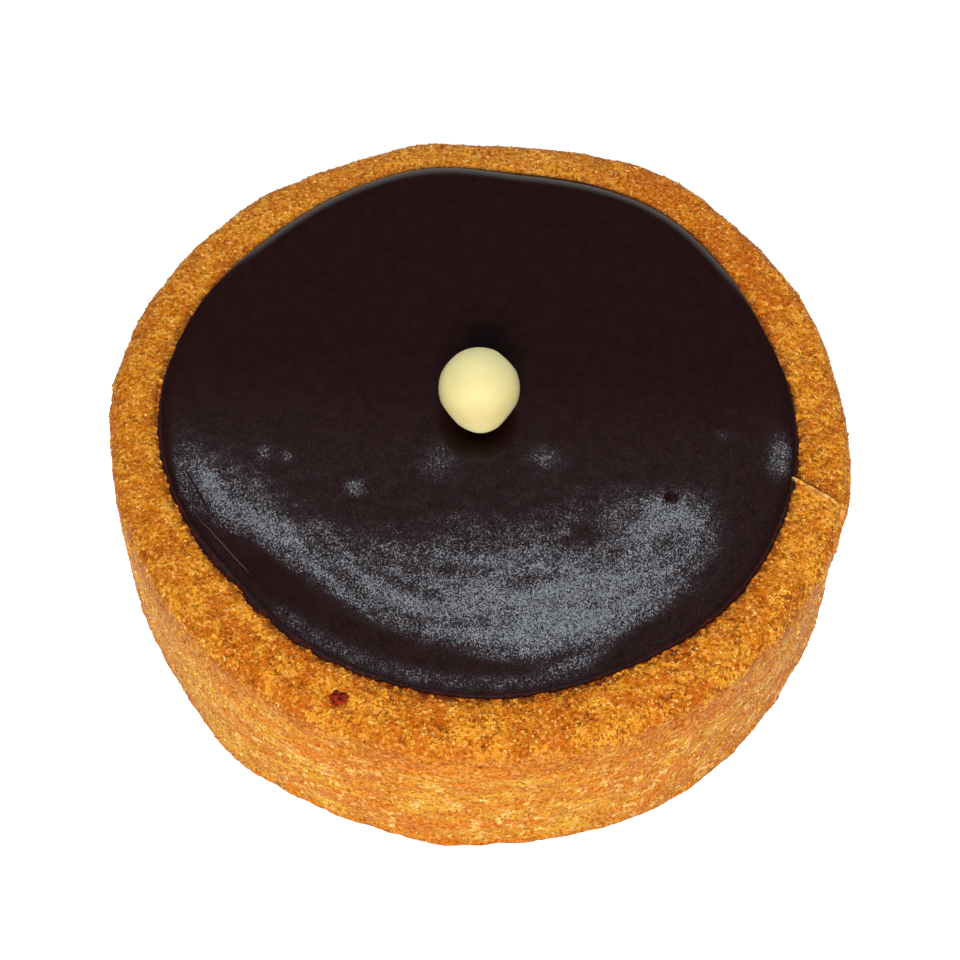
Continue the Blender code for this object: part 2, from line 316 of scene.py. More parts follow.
def area(value, start, width):
    """Area under a soft step from 0 to 1 that begins at start."""
    t = np.clip((value - start) / width, 0.0, 1.0)
    return width * (t ** 3 - 0.5 * t ** 4) + np.maximum(0.0, value - start - width)


def mark(x, y, marks):
    """Height of a list of round marks at a place."""
    return sum(height * np.exp(-((x - mark_x) ** 2 + (y - mark_y) ** 2) / radius ** 2)
               for mark_x, mark_y, radius, height in marks)


def arc(centre_r, centre_z, radius, start, end, steps):
    """Points of a round corner in a half section, its first point left out."""
    turns = [math.radians(start + (end - start) * step / steps) for step in range(1, steps + 1)]
    return [(centre_r + radius * math.cos(turn), centre_z + radius * math.sin(turn)) for turn in turns]


def spread(low, high, steps):
    """Even steps from low to high, low left out."""
    return [low + (high - low) * step / steps for step in range(1, steps + 1)]


def clear_selection():
    bpy.ops.object.select_all(action="DESELECT")


def select_only(obj):
    clear_selection()
    obj.select_set(True)
    bpy.context.view_layer.objects.active = obj


def rows_of(elements, name, width=3):
    """A row of numbers for each point or face of a mesh."""
    flat = np.empty(len(elements) * width, dtype=np.float32)
    elements.foreach_get(name, flat)
    return flat.reshape(-1, width).astype(np.float64)


def points_of(obj):
    """A mesh's points as rows of millimetres."""
    return rows_of(obj.data.vertices, "co") / MM


def normals_of(obj):
    return rows_of(obj.data.vertex_normals, "vector")


def set_points(obj, points):
    obj.data.vertices.foreach_set("co", (points * MM).astype(np.float32).ravel())
    obj.data.update()


def paint(obj, name, values):
    """Keeps one number per point, for a material to read."""
    layer = obj.data.attributes.new(name, "FLOAT", "POINT")
    layer.data.foreach_set("value", np.asarray(values, dtype=np.float32))


def new_ball(name, subdivisions, radius):
    """An even ball of triangles round the origin."""
    clear_selection()
    bpy.ops.mesh.primitive_ico_sphere_add(subdivisions=subdivisions, radius=radius * MM)
    ball = bpy.context.object
    ball.name = name
    ball.data.name = name
    return ball


def lathe(name, section, columns, start=0.0):
    """One point extruded along a half section, which is then spun round the axis."""
    clear_selection()
    turn = math.radians(start)
    outward = Vector((math.cos(turn), math.sin(turn), 0.0))
    upward = Vector(UP)
    first = (outward * section[0][0] + upward * section[0][1]) * MM
    bpy.ops.mesh.primitive_plane_add(size=MM, location=first)
    obj = bpy.context.object
    obj.name = name
    obj.data.name = name
    bpy.ops.object.mode_set(mode="EDIT")
    bpy.ops.mesh.select_all(action="SELECT")
    bpy.ops.mesh.merge(type="CENTER")
    for (from_r, from_z), (to_r, to_z) in zip(section, section[1:]):
        step = (outward * (to_r - from_r) + upward * (to_z - from_z)) * MM
        bpy.ops.mesh.extrude_vertices_move(TRANSFORM_OT_translate={"value": step})
    bpy.ops.object.mode_set(mode="OBJECT")
    bpy.ops.object.transform_apply(location=True, rotation=True, scale=True)
    turner = obj.modifiers.new("turn", "SCREW")
    turner.axis = "Z"
    turner.angle = 2.0 * math.pi
    turner.steps = columns
    turner.render_steps = columns
    turner.use_merge_vertices = True
    turner.merge_threshold = MERGE_DISTANCE * MM
    bpy.ops.object.modifier_apply(modifier=turner.name)
    bpy.ops.object.mode_set(mode="EDIT")
    bpy.ops.mesh.select_all(action="SELECT")
    bpy.ops.mesh.remove_doubles(threshold=MERGE_DISTANCE * MM)
    bpy.ops.mesh.normals_make_consistent(inside=False)
    bpy.ops.object.mode_set(mode="OBJECT")
    return obj


def relief(obj, pattern, size, height, where, flatten=1.0):
    """Presses a soft random relief into a mesh; flatten squeezes its pattern into layers."""
    texture = bpy.data.textures.new(f"{obj.name} relief", "CLOUDS")
    texture.noise_basis = pattern
    texture.noise_scale = size * MM
    texture.noise_depth = 1
    guide = bpy.data.objects.new("guide", None)
    bpy.context.collection.objects.link(guide)
    guide.location = [value * MM for value in RELIEF_ORIGIN]
    guide.scale = (1.0, 1.0, flatten)
    bpy.context.view_layer.update()
    select_only(obj)
    press = obj.modifiers.new("relief", "DISPLACE")
    press.texture = texture
    press.texture_coords = "OBJECT"
    press.texture_coords_object = guide
    press.strength = height * MM
    press.mid_level = 0.5
    press.vertex_group = where
    bpy.ops.object.modifier_apply(modifier=press.name)
    bpy.data.objects.remove(guide)
    bpy.data.textures.remove(texture)


def weigh(obj, name, weights):
    """A vertex group from one weight per point."""
    group = obj.vertex_groups.new(name=name)
    steps = np.round(np.clip(weights, 0.0, 1.0) * WEIGHT_STEPS).astype(int)
    for level in range(1, WEIGHT_STEPS + 1):
        members = np.nonzero(steps == level)[0].tolist()
        if members:
            group.add(members, level / WEIGHT_STEPS, "REPLACE")


def finish_mesh(obj, angle, material):
    """Its material, smooth shading with crisp edges past an angle, and no groups left."""
    obj.data.materials.append(material)
    select_only(obj)
    bpy.ops.object.shade_smooth_by_angle(angle=math.radians(angle))
    obj.vertex_groups.clear()


# Materials

class Wiring:
    """Nodes of one tree, wired one call at a time."""

    def __init__(self, tree):
        self.tree = tree

    def new(self, kind, **settings):
        node = self.tree.nodes.new(kind)
        for key, value in settings.items():
            setattr(node, key, value)
        return node

    def feed(self, socket, value):
        if isinstance(value, bpy.types.NodeSocket):
            self.tree.links.new(value, socket)
        elif value is not None:
            socket.default_value = value

    def tune(self, node, **numbers):
        """Sets sockets of a node to fixed values; an underscore stands for a space."""
        for key, number in numbers.items():
            node.inputs[key.replace("_", " ")].default_value = number

    def math(self, operation, first, second=None):
        node = self.new("ShaderNodeMath", operation=operation)
        self.feed(node.inputs[0], first)
        self.feed(node.inputs[1], second)
        return node.outputs[0]

    def product(self, first, *others):
        for other in others:
            first = self.math("MULTIPLY", first, other)
        return first

    def dot(self, vector, direction, offset=0.0):
        node = self.new("ShaderNodeVectorMath", operation="DOT_PRODUCT")
        self.feed(node.inputs[0], vector)
        self.feed(node.inputs[1], direction)
        return self.math("ADD", node.outputs["Value"], offset)

    def span(self, value, low, high, to_low=0.0, to_high=1.0):
        """Maps low..high to to_low..to_high, smoothly and held at both ends."""
        node = self.new("ShaderNodeMapRange", interpolation_type="SMOOTHSTEP")
        self.feed(node.inputs["Value"], value)
        self.tune(node, From_Min=low, From_Max=high, To_Min=to_low, To_Max=to_high)
        return node.outputs["Result"]


class Pattern(Wiring):
    """A material whose patterns are measured in millimetres of the object's own place."""

    def __init__(self, name):
        self.material = bpy.data.materials.new(name)
        self.material.use_nodes = True
        super().__init__(self.material.node_tree)
        self.shader = self.tree.nodes["Principled BSDF"]
        self.place = self.mapped(self.new("ShaderNodeTexCoord").outputs["Object"], (1 / MM,) * 3)

    def mapped(self, vector, scale=(1.0, 1.0, 1.0), location=(0.0, 0.0, 0.0)):
        node = self.new("ShaderNodeMapping")
        self.feed(node.inputs["Vector"], vector)
        self.tune(node, Scale=scale, Location=location)
        return node.outputs["Vector"]

    def noise(self, size, detail=2.0, roughness=0.5, vector=None, distortion=0.0):
        node = self.new("ShaderNodeTexNoise")
        self.feed(node.inputs["Vector"], vector or self.place)
        self.tune(node, Scale=1.0 / size, Detail=detail, Roughness=roughness, Distortion=distortion)
        return node.outputs["Fac"]

    def cells(self, size, output="Distance"):
        node = self.new("ShaderNodeTexVoronoi")
        self.feed(node.inputs["Vector"], self.place)
        self.tune(node, Scale=1.0 / size)
        return node.outputs[output]

    def ramp(self, value, stops):
        node = self.new("ShaderNodeValToRGB")
        self.feed(node.inputs["Fac"], value)
        elements = node.color_ramp.elements
        while len(elements) < len(stops):
            elements.new(1.0)
        for element, (position, colour) in zip(elements, stops):
            element.position = position
            element.color = (*colour, 1.0)
        return node.outputs["Color"]

    def mix(self, share, first, second):
        node = self.new("ShaderNodeMix", data_type="RGBA")
        self.feed(node.inputs["Factor"], share)
        self.feed(node.inputs["A"], first if not isinstance(first, tuple) else (*first, 1.0))
        self.feed(node.inputs["B"], second if not isinstance(second, tuple) else (*second, 1.0))
        return node.outputs["Result"]

    def apart(self, vector):
        node = self.new("ShaderNodeSeparateXYZ")
        self.feed(node.inputs[0], vector)
        return node.outputs

    def attribute(self, name):
        return self.new("ShaderNodeAttribute", attribute_name=name).outputs["Fac"]

    def line(self, start, end, width):
        """1 along a fine, slightly wandering line on the top, 0 past its width and its ends."""
        begin = Vector(start) + AXIS.xy
        along = Vector(end) - Vector(start)
        length = along.length
        along.normalize()
        wander = self.product(self.math("SUBTRACT", self.noise(3.0, 3.0), 0.5), 0.30)
        aside = self.dot(self.place, (-along.y, along.x, 0.0), along.y * begin.x - along.x * begin.y)
        aside = self.math("ABSOLUTE", self.math("ADD", aside, wander))
        travel = self.dot(self.place, (along.x, along.y, 0.0), -along.dot(begin))
        return self.product(self.span(aside, width, 0.2 * width), self.span(travel, 0.0, 0.2 * length),
                            self.span(travel, length, 0.8 * length))

    def bump(self, height, distance, normal=None, strength=1.0):
        """Distance is in millimetres."""
        node = self.new("ShaderNodeBump")
        self.feed(node.inputs["Height"], height)
        self.feed(node.inputs["Normal"], normal)
        self.tune(node, Distance=distance * MM, Strength=strength)
        return node.outputs["Normal"]

    def vector(self, operation, first, second=None, factor=None):
        node = self.new("ShaderNodeVectorMath", operation=operation)
        self.feed(node.inputs[0], first)
        self.feed(node.inputs[1], second)
        if factor is not None:
            self.feed(node.inputs["Scale"], factor)
        return node.outputs["Vector"]

    def tip(self, normal, direction, slope):
        """Tips the surface towards a direction by a slope."""
        aside = self.vector("SCALE", direction, factor=slope)
        return self.vector("NORMALIZE", self.vector("ADD", normal, aside))

    def finish(self, colour, roughness, normal, **constants):
        self.feed(self.shader.inputs["Base Color"], colour)
        self.feed(self.shader.inputs["Roughness"], roughness)
        self.feed(self.shader.inputs["Normal"], normal)
        self.tune(self.shader, **constants)
        return self.material


def pastry():
    """Golden shortcrust: sandy grains, browned patches, layers and flecks on the wall."""
    p = Pattern("baked pastry")
    painted = ("top", "stain_and_shade", "cut", "shade", "coarse", "own", "raised")
    top, stain_and_shade, cut, shade, coarse, own, raised = map(p.attribute, painted)
    east, north, height = (p.dot(p.place, axis) for axis in (RIGHT, BACK, UP))
    grainy = p.mapped(p.place, (1.0, 1.0, 0.95))

    # Colour of the dough in large and middling patches
    broad = p.noise(7.0, 2.0, 0.5)
    dough = p.ramp(broad, [(0.38, (0.36, 0.095, 0.002)), (0.5, (0.45, 0.150, 0.004)),
                           (0.62, (0.54, 0.220, 0.012))])
    middle = p.noise(1.9, 2.0, 0.6)
    dough = p.mix(p.span(middle, 0.50, 0.62, 0.0, 0.8), dough, (0.64, 0.29, 0.020))
    dough = p.mix(p.span(middle, 0.49, 0.37, 0.0, 0.8), dough, (0.35, 0.072, 0.001))

    # Wall: soft layers, peach patches high up, pale flecks low down
    layer = p.noise(6.5, 2.0, 0.5, p.mapped(p.place, (1.0, 1.0, 2.6)))
    wall = p.mix(0.5, dough, (0.57, 0.28, 0.010))
    wall = p.mix(p.span(layer, 0.50, 0.60, 0.0, 0.75), wall, (0.71, 0.43, 0.036))
    wall = p.mix(p.span(layer, 0.49, 0.40, 0.0, 0.7), wall, (0.52, 0.155, 0.004))
    streak = p.noise(11.0, 4.0, 0.62, p.mapped(p.place, (1.0, 1.0, 4.5), (5.1, 1.3, 8.8)))
    wall = p.mix(p.span(streak, 0.50, 0.57, 0.0, 0.85), wall, (0.56, 0.145, 0.004))
    peach = p.span(p.noise(4.5, 2.0, 0.5, p.mapped(p.place, (1.0, 1.0, 1.6))), 0.50, 0.62)
    wall = p.mix(p.product(peach, p.span(height, 10.0, 16.0), 0.20), wall, (0.58, 0.22, 0.014))
    fleck = p.span(p.noise(1.3, 3.0, 0.65, grainy), 0.55, 0.63)
    wall = p.mix(p.product(fleck, p.span(height, 19.0, 11.0, 0.45, 1.0)), wall, (0.88, 0.62, 0.17))
    wall = p.mix(p.span(height, 2.8, 0.8, 0.0, 0.7), wall, (0.50, 0.125, 0.003))

    # Each side of the rim gets a tint of its own, and the wall a paler one on its left
    back_left = p.product(p.span(north, 18.0, 36.0), p.span(east, 22.0, 4.0))
    dough = p.mix(p.product(back_left, 0.35), dough, (0.52, 0.25, 0.030))
    left = p.span(east, -14.0, -36.0)
    dough = p.mix(p.product(left, 0.20), dough, (0.16, 0.130, 0.004))
    back = p.span(north, 20.0, 32.0)
    dough = p.mix(p.product(back, 0.10), dough, (0.14, 0.110, 0.004))
    back_right = p.product(p.span(north, 12.0, 26.0), p.span(east, 8.0, 22.0))
    dough = p.mix(p.product(back_right, 0.42), dough, (0.42, 0.085, 0.0))
    right = p.product(p.span(north, 16.0, 6.0), p.span(east, 24.0, 34.0))
    dough = p.mix(p.product(right, 0.14), dough, (0.66, 0.32, 0.02))
    wall = p.mix(p.product(left, 0.30), wall, (0.74, 0.40, 0.05))
    dough = p.mix(top, wall, dough)

    # Grains: lighter crests and darker hollows, partly the dough's colour and partly painted highlight and
    # painted shade; dark worm-like pits, partly painted shade; and a few pale crumbs
    grit = p.noise(0.42, 1.5, 0.6, grainy)
    strength = p.span(top, 0.0, 1.0, 0.9, 1.0)
    # Raised relief painted lighter, a painted highlight
    dough = p.mix(p.product(p.span(raised, 0.01, 0.10), 0.25), dough, (0.70, 0.34, 0.030))
    # Painted highlight on the bumped grit's crests and painted shade in its hollows, over the grain's own
    # colour
    dough = p.mix(p.product(p.span(grit, 0.55, 0.68), strength, 0.45), dough, (0.84, 0.50, 0.13))
    dough = p.mix(p.product(p.span(grit, 0.46, 0.36), strength, 0.85), dough, (0.22, 0.042, 0.001))
    crack = p.math("ABSOLUTE", p.math("SUBTRACT", p.noise(0.85, 1.0, 0.5, grainy, 1.3), 0.5))
    crack = p.math("SUBTRACT", crack, p.product(coarse, 0.020))
    broken = p.span(p.noise(0.75, 1.0, vector=p.mapped(p.place, location=(9.1, 2.2, 5.7))), 0.48, 0.56)
    patchy = p.span(p.noise(3.2, 1.0), 0.40, 0.60, 0.35, 1.0)
    share = p.math("MAXIMUM", p.span(top, 0.0, 1.0, 0.25, 0.75), coarse)
    pit = p.product(p.span(crack, 0.046, 0.020), broken, patchy, share)
    # Dark pits: browner dough and painted shade in the hollows
    dough = p.mix(pit, dough, (0.060, 0.010, 0.001))
    crumb = p.product(p.span(p.cells(0.62), 0.24, 0.12), p.span(p.noise(0.8, 1.0), 0.52, 0.58))
    dough = p.mix(p.product(crumb, 0.7), dough, (0.92, 0.58, 0.18))
    dough = p.mix(p.span(own, 0.7, 1.0, 0.0, 0.45), dough, (0.88, 0.52, 0.14))
    dough = p.mix(p.span(own, 0.4, 0.0, 0.0, 0.5), dough, (0.30, 0.066, 0.002))

    # Painted shadow behind the seam's step, its pale cut edge, and the stain and painted shade where the
    # filling touches
    # Painted shadow of the lapped end on the pastry behind it
    dough = p.mix(p.product(shade, 0.75), dough, (0.20, 0.036, 0.001))
    dough = p.mix(p.product(cut, p.span(grit, 0.3, 0.6, 0.25, 0.8)), dough, (0.80, 0.46, 0.14))
    # Stain of the filling and painted shade next to its edge
    stained_and_shaded = p.product(stain_and_shade, p.span(p.noise(0.8, 2.0, 0.6), 0.38, 0.56))
    dough = p.mix(stained_and_shaded, dough, (0.06, 0.007, 0.001))

    normal = p.bump(grit, 0.45)
    normal = p.bump(pit, -0.12, normal)
    normal = p.bump(p.noise(0.24, 1.0), 0.09, normal, 0.8)
    roughness = p.span(grit, 0.3, 0.7, 0.62, 0.42)
    return p.finish(dough, roughness, normal, Specular_IOR_Level=0.05)


def satin_ganache():
    """Near-black chocolate with a fine satin skin, reddish where it is thin."""
    p = Pattern("dark ganache")
    thin = p.attribute("thin")
    waves = p.noise(1.6, 2.0, 0.5)
    crease = p.line(*CREASE, CREASE_WIDTH)
    scratch_highlight = p.line(*SCRATCH_HIGHLIGHT, SCRATCH_HIGHLIGHT_WIDTH)
    colour = p.mix(p.span(waves, 0.4, 0.6), (0.0074, 0.0018, 0.0018), (0.0092, 0.0024, 0.0024))
    colour = p.mix(thin, colour, (0.016, 0.0012, 0.0008))
    # Painted shadow of the pearl on the ganache: near-black red in front of it, darker and less red behind it
    shaded = p.mix(p.span(p.dot(p.place, BACK), 1.0, 4.0), (0.0022, 0.0002, 0.0001),
                   (0.0006, 0.0003, 0.0002))
    colour = p.mix(p.attribute("pearl_shade"), colour, shaded)
    # Painted highlight along a scratch
    colour = p.mix(p.product(scratch_highlight, 0.7), colour, (0.06, 0.045, 0.04))

    # Each grain leans between dark and shining, by the painted share and by its own chance
    grains = p.apart(p.cells(SKIN_GRAIN, "Color"))["Z"]
    clouded = p.product(p.attribute("shine"), p.span(waves, 0.3, 0.7, 0.85, 1.35),
                        p.span(crease, 0.0, 0.8, 1.0, 0.0))
    level = p.product(clouded, p.span(grains, 0.0, 1.0, 1.9, 0.1))
    lit = p.math("ADD", p.span(level, 0.0, 0.08, 0.0, 0.12), p.product(p.math("MINIMUM", level, 1.0), 0.92))
    lean = p.math("ADD", p.attribute("dark_lean"), p.product(p.attribute("shining_lean"), lit))
    own_way = p.vector("SUBTRACT", p.cells(SKIN_GRAIN, "Color"), (0.5, 0.5, 0.5))
    normal = p.tip(p.bump(waves, 0.008), UP, p.attribute("calm"))
    normal = p.tip(normal, (0.0, -1.0, 0.0), lean)
    normal = p.tip(normal, own_way, p.span(lit, 0.15, 0.5, 0.03, 0.07))
    roughness = p.math("MAXIMUM", p.span(grains, 0.0, 1.0, 0.08, 0.15), p.product(thin, 0.5))
    return p.finish(colour, roughness, normal, Specular_IOR_Level=0.12)


def cream():
    """Cream-yellow chocolate with a soft sheen, with painted shade at the top and painted light at the
    bottom.
    """
    p = Pattern("cream chocolate")
    cloud = p.noise(2.2, 3.0, 0.5)
    colour = p.ramp(cloud, [(0.3, (0.475, 0.40, 0.175)), (0.7, (0.515, 0.435, 0.20))])
    height = p.dot(p.place, UP, -PEARL_CENTRE.z)
    # Painted shade darkens the top and painted light brightens the bottom
    colour = p.mix(p.span(height, 1.5, 4.0, 0.0, 0.5), colour, (0.38, 0.345, 0.15))
    colour = p.mix(p.span(height, 1.0, -2.5), colour, (0.68, 0.585, 0.27))
    normal = p.bump(p.noise(0.5, 2.0), 0.01, None, 0.4)
    return p.finish(colour, 0.55, normal, Specular_IOR_Level=0.3, Subsurface_Weight=0.45,
                    Subsurface_Scale=0.002)


def dark_caramel():
    """Dark red burnt sugar, uneven and nearly matt."""
    p = Pattern("dark caramel")
    patch = p.noise(0.5, 3.0, 0.6)
    colour = p.ramp(patch, [(0.40, (0.035, 0.0015, 0.0003)), (0.60, (0.24, 0.014, 0.001))])
    normal = p.bump(p.noise(0.3, 2.0), 0.06, None, 0.8)
    return p.finish(colour, 0.5, normal, Specular_IOR_Level=0.06)


# Shell

def shell_section():
    """Half section of the shell, from the middle of its underside round to its floor."""
    foot_r = FOOT_RADIUS - FOOT_ROUNDING
    corner_r = RING_RADIUS - RIM_ROUNDING
    corner_z = RIM_HEIGHT - RIM_ROUNDING
    lip = GANACHE_RADIUS - LIP_OVERLAP
    lip_r = lip + LIP_ROUNDING
    fillet_z = FLOOR_THICKNESS + FLOOR_FILLET
    points = [(0.0, 0.0)] + [(r, 0.0) for r in (4.0, 12.0, 20.0, 28.0, 34.0, 37.0, foot_r)]
    points += arc(foot_r, FOOT_ROUNDING, FOOT_ROUNDING, -90, 0, 5)
    points += [(FOOT_RADIUS + (RING_RADIUS - FOOT_RADIUS) * rise,
                FOOT_ROUNDING + (corner_z - FOOT_ROUNDING) * rise) for rise in spread(0.0, 1.0, 62)]
    points += arc(corner_r, corner_z, RIM_ROUNDING, 0, 90, 12)
    points += [(corner_r + (lip_r - corner_r) * across, RIM_HEIGHT + RIM_CROWN * math.sin(math.pi * across))
               for across in spread(0.0, 1.0, 13)]
    points += arc(lip_r, RIM_HEIGHT - LIP_ROUNDING, LIP_ROUNDING, 90, 180, 4)
    points += [(lip, z) for z in (20.0, 14.0, fillet_z)]
    points += arc(lip - FLOOR_FILLET, fillet_z, FLOOR_FILLET, 0, -90, 3)
    points += [(r, FLOOR_THICKNESS) for r in (24.0, 14.0, 5.0, 0.0)]
    return points


def filling_shift(angle):
    """How far the filling's edge lies outside its ideal circle."""
    turn = np.radians(angle)
    offset = GANACHE_CENTRE.x * np.cos(turn) + GANACHE_CENTRE.y * np.sin(turn)
    return offset + swell(angle, GANACHE_SWELLS)


def lapping(past_end):
    """How far the lapped end still stands up, from 1 at the seam to 0 well before it."""
    return np.where(past_end < 0.0, np.exp(np.minimum(past_end, 0.0) / SEAM_RUN_OUT), 0.0)


def crags(points):
    """Height of the uneven baked surface at each point."""
    coarse = [noise.noise((Vector(point) + NOISE_ORIGIN) / CRAG_SIZE) for point in points]
    fine = [noise.noise((Vector(point) - NOISE_ORIGIN) / GRAIN_SIZE) for point in points]
    return CRAG_HEIGHT * np.array(coarse) + GRAIN_HEIGHT * np.array(fine)


def paint_pastry(obj, points):
    """Where the pastry is rim, touches the filling, is stained and has painted shade beside it, or is coarse,
    for its material.
    """
    radius, angle = polar(points)
    edge_gap = radius - (GANACHE_EDGE + filling_shift(angle))
    level = points[:, 2]
    paint(obj, "top", smooth(15.0, 23.0, level))
    behind = np.exp(-(turned(angle - 90.0) / 60.0) ** 2)
    # Stain of the filling and painted shade beside its edge, weaker at the back
    paint(obj, "stain_and_shade", smooth(1.4, 0.0, edge_gap) * smooth(21.5, 22.5, level) * (1.0 - 0.75 * behind))
    paint(obj, "coarse", np.exp(-(turned(angle + 50.0) / 45.0) ** 2) * smooth(21.0, 22.5, level))


def make_shell():
    half_column = 180.0 / SHELL_COLUMNS
    shell = lathe("crust_shell", shell_section(), SHELL_COLUMNS, SEAM_MIDDLE + half_column)
    points = points_of(shell)
    normals = normals_of(shell)
    lip = GANACHE_RADIUS + 0.3

    flat_radius, angle = polar(points)
    level = points[:, 2]
    rise = level / RIM_HEIGHT
    top = smooth(0.6, 1.0, rise)
    outside = np.where(level < 1e-6, 1.0, smooth(lip, RING_RADIUS - 1.0, flat_radius))
    inner_shift = filling_shift(angle) * np.minimum(1.0, flat_radius / lip)
    outer_shift = (1.0 - rise) * swell(angle, FOOT_SWELLS) + rise * swell(angle, RIM_SWELLS)
    outer_shift *= np.minimum(1.0, flat_radius / 30.0)
    shift = outer_shift * outside + inner_shift * (1.0 - outside)
    lift = top * swell(angle, RIM_LEVELS)

    past_end = turned(angle - SEAM_MIDDLE)
    lap = lapping(past_end)
    lift += SEAM_STEP * lap * top
    shift -= SEAM_SET_BACK * lap * outside * smooth(0.2, 0.9, rise)

    weight = np.where(outside > 0.2, smooth(0.15, 0.75, rise), smooth(0.8, 0.95, rise))
    across = np.clip((flat_radius - SEAM_INNER_RADIUS) / (SEAM_OUTER_RADIUS - SEAM_INNER_RADIUS), 0.0, 1.0)
    line = SEAM_INNER_ANGLE + (SEAM_OUTER_ANGLE - SEAM_INNER_ANGLE) * across ** 0.8
    fade = weight * np.maximum(0.0, 1.0 - np.maximum(0.0, np.abs(past_end) - half_column) / SEAM_REACH)
    pinch = np.copysign((half_column - SEAM_HALF_GAP) * fade, past_end)
    turn = np.radians(angle + (line - SEAM_MIDDLE) * fade - pinch)

    radius = flat_radius + shift
    placed = np.stack([radius * np.cos(turn), radius * np.sin(turn), level + lift], axis=1)
    placed[flat_radius < MM] = points[flat_radius < MM]
    baked = (outside > 0.01) & (level > 1e-6)
    push = np.zeros(len(placed))
    push[baked] = crags(placed[baked])
    push -= top * mark(placed[:, 0], placed[:, 1], RIM_PITS) * baked
    placed += normals * push[:, None]
    placed[:, 2] = np.maximum(placed[:, 2], 0.5 * level)
    set_points(shell, placed + np.array(AXIS))

    # Where the finer relief goes: nowhere on the underside and the hidden inside
    shown = smooth(0.15, 0.9, level) * (flat_radius > GANACHE_RADIUS - 0.1)
    upright = shown * (1.0 - smooth(19.5, 22.0, level))
    weigh(shell, "shown", shown)
    weigh(shell, "upright", upright)
    weigh(shell, "foot", shown * smooth(3.2, 0.6, level))

    from_seam = turned(np.degrees(turn) - line)
    paint_pastry(shell, placed)
    paint(shell, "cut", lap * smooth(0.75, 0.35, np.abs(from_seam)) * smooth(15.0, 21.0, level))
    # Painted shadow that the lapped end casts on the pastry behind it
    behind = np.where(past_end > 0.0, smooth(3.5, 0.2, from_seam), 0.0)
    paint(shell, "shade", behind * smooth(17.0, 22.0, level))

    smooth_points = points_of(shell)
    smooth_normals = normals_of(shell)
    set_points(shell, smooth_points - smooth_normals * ((0.05 + 0.13 * top) * shown)[:, None])
    relief(shell, "VORONOI_F1", size=1.5, height=0.20, where="shown")
    relief(shell, "IMPROVED_PERLIN", size=1.0, height=0.20, where="shown")
    pushed = np.sum((points_of(shell) - smooth_points) * smooth_normals, axis=1)
    paint(shell, "raised", (pushed - pushed[shown > 0.9].mean()) * shown)
    relief(shell, "IMPROVED_PERLIN", size=5.0, height=0.30, where="upright", flatten=LAYER_FLATNESS)
    relief(shell, "VORONOI_CRACKLE", size=2.6, height=0.35, where="foot", flatten=LAYER_FLATNESS)
    finish_mesh(shell, 65.0, pastry())
    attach(shell, "root")
    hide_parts("crust")
    return shell


# Ganache

def ganache_section():
    side = GANACHE_RADIUS - 0.25
    base_z = FLOOR_THICKNESS + 0.05
    fillet_r = side - FLOOR_FILLET
    points = [(0.0, base_z)] + [(r, base_z) for r in (5.0, 16.0, 26.0, fillet_r)]
    points += arc(fillet_r, base_z + FLOOR_FILLET, FLOOR_FILLET, -90, 0, 3)
    points += [(side, z) for z in (12.0, 18.0, 21.6)] + [(GANACHE_EDGE, 22.2), (GANACHE_EDGE, BEAD_FOOT)]
    rings = [GANACHE_EDGE - BEAD_WIDTH * share ** 2 for share in spread(0.0, 1.0, BEAD_STEPS)]
    rings += spread(GANACHE_EDGE - BEAD_WIDTH, 0.9, 100)
    points += [(radius, GANACHE_TOP) for radius in rings]
    points.append((0.0, GANACHE_TOP))
    return points


def top_level(radius, angle):
    """Level of the ganache's skin: a low dome, the waves at its front and a rounded edge."""
    dome = GANACHE_DOME * (1.0 - (radius / GANACHE_RADIUS) ** 2)
    begins = by_angle(FALL_BEGINS, angle) - FIRST_LEAD
    steepens = by_angle(FALL_STEEPENS, angle) - STEEP_LEAD
    second = by_angle(SECOND_WAVE, angle) - SECOND_LEAD
    gentle = by_angle(FIRST_SLOPES, angle)
    steep = by_angle(STEEP_SLOPES, angle)
    fall = gentle * area(radius, begins, FIRST_SOFTNESS)
    fall += (steep - gentle) * area(radius, steepens, STEEP_SOFTNESS)
    fall -= np.maximum(0.0, steep - SECOND_SLOPE) * area(radius, second, SECOND_SOFTNESS)
    level = GANACHE_TOP + dome - fall
    width = by_angle(BEAD_WIDTHS, angle)
    near = np.clip(1.0 - (GANACHE_EDGE - radius) / width, 0.0, 1.0) * (1.0 - swell(angle, BACK_BEAD))
    roll = 1.0 - np.sqrt(np.maximum(0.0, 1.0 - near ** BEAD_FULLNESS))
    return level - (level - BEAD_FOOT) * roll


def streaks(radius, angle):
    """Faint ripples along the waves at the front, from about -1 to 1."""
    along = np.radians(angle % 360.0) * STREAK_RADIUS / STREAK_LENGTH
    rows = np.stack([radius / STREAK_SPACING, along, np.zeros(len(along))], axis=1)
    ripple = np.array([noise.noise(Vector(row)) for row in rows])
    return ripple * smooth(*STREAK_START, radius - by_angle(FALL_BEGINS, angle))


